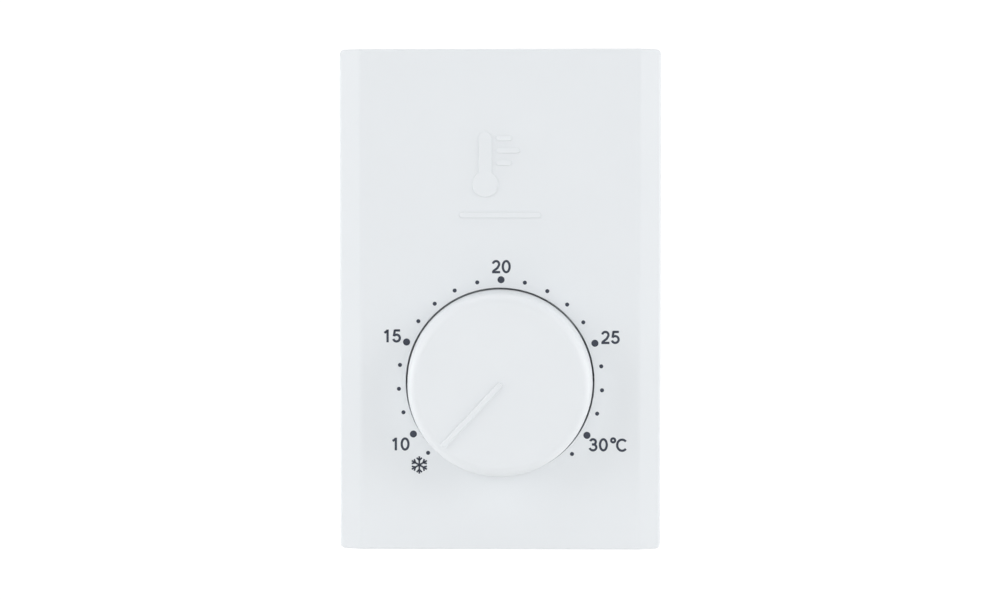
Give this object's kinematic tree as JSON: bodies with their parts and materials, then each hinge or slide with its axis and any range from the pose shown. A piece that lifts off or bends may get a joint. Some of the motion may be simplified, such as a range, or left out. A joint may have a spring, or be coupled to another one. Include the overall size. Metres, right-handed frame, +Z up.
{
  "type": "wall thermostat",
  "caption": "Upright white wall thermostat with side slopes, a large round setpoint knob with a raised pointer, and a cam, bimetal and snap switch inside.",
  "frame": {"origin": "centre of the base plate's back face, which lies on the wall", "axes": "+Z up, +X to the right seen from the front, and the front faces -Y"},
  "size_m": [0.0734, 0.0392, 0.1142],
  "materials": {
    "white_abs": "white moulded ABS, satin",
    "grey_abs": "pale grey moulded ABS, matt",
    "phenolic": "black moulded phenolic",
    "zinc_steel": "zinc-plated steel",
    "spring_steel": "bright spring steel",
    "brass": "bright brass",
    "bimetal": "rolled bimetal",
    "silver": "silver alloy contact",
    "magnet": "dark sintered magnet, matt like plastic",
    "nylon": "natural nylon",
    "resistor_enamel": "enamelled resistor",
    "tinned_copper": "tinned copper wire"
  },
  "bodies": {
    "base": {"base_plate": "grey_abs", "frame_bracket": "zinc_steel", "bracket_screw_left": "zinc_steel", "bracket_screw_right": "zinc_steel", "shaft_bushing": "brass", "bushing_nut": "brass", "friction_washer": "spring_steel", "lever_pivot_pin": "zinc_steel", "lever_spacer": "nylon", "lever_return_spring": "spring_steel", "switch_housing": "phenolic", "switch_screw_lower": "zinc_steel", "switch_screw_upper": "zinc_steel", "fixed_contact": "silver", "snap_magnet": "magnet", "contact_spring": "spring_steel", "load_terminal": "brass", "line_terminal": "brass", "terminal_screw_load": "zinc_steel", "terminal_screw_line": "zinc_steel", "terminal_clamp_load": "zinc_steel", "terminal_clamp_line": "zinc_steel", "anticipator_resistor": "resistor_enamel", "resistor_lead_line": "tinned_copper", "resistor_lead_load": "tinned_copper"},
    "cover": {"front_cover": "white_abs", "cover_screw": "zinc_steel", "cover_nut": "zinc_steel"},
    "dial": {"control_knob": "white_abs", "hub_clamp_ring": "spring_steel", "control_shaft": "zinc_steel", "shaft_retaining_ring": "spring_steel", "setpoint_cam": "nylon", "stop_pin": "zinc_steel"},
    "lever": {"range_lever": "zinc_steel", "bimetal_rivet_lower": "brass", "bimetal_rivet_upper": "brass"},
    "bimetal": {"bimetal_strip": "bimetal", "calibration_screw": "brass", "calibration_nut": "brass"},
    "plunger": {"switch_plunger": "nylon"},
    "contact_arm": {"contact_arm": "brass", "moving_contact": "silver", "magnet_armature": "zinc_steel"}
  },
  "joints": [
    {"name": "cover_release", "type": "slide", "parent": "base", "child": "cover", "axis": [0, -1, 0], "range_m": [0, 0.045]},
    {"name": "knob_turn", "type": "hinge", "parent": "base", "child": "dial", "pos_m": [0, -0.0385, -0.01875], "axis": [0, 1, 0], "range_deg": [0, 274]},
    {"name": "lever_swing", "type": "hinge", "parent": "base", "child": "lever", "pos_m": [0.015, -0.019, 0], "axis": [0, 1, 0], "range_deg": [0, 6.2]},
    {"name": "bimetal_flex", "type": "hinge", "parent": "lever", "child": "bimetal", "pos_m": [0.0133, -0.0095, 0.012], "axis": [0, 1, 0], "range_deg": [0, 1.5], "stiffness_Nm_per_rad": 0.005},
    {"name": "plunger_slide", "type": "slide", "parent": "base", "child": "plunger", "axis": [1, 0, 0], "range_m": [0, 0.00085]},
    {"name": "contact_swing", "type": "hinge", "parent": "base", "child": "contact_arm", "pos_m": [-0.00075, -0.0095, 0.017], "axis": [0, 1, 0], "range_deg": [0, 4.4]}
  ],
  "couplings": [
    {"joint": "lever_swing", "follows": "knob_turn", "ratio": 0.02262},
    {"joint": "plunger_slide", "follows": "knob_turn", "m_per_rad": 0.00017774},
    {"joint": "contact_swing", "follows": "knob_turn", "ratio": 0.016058}
  ]
}
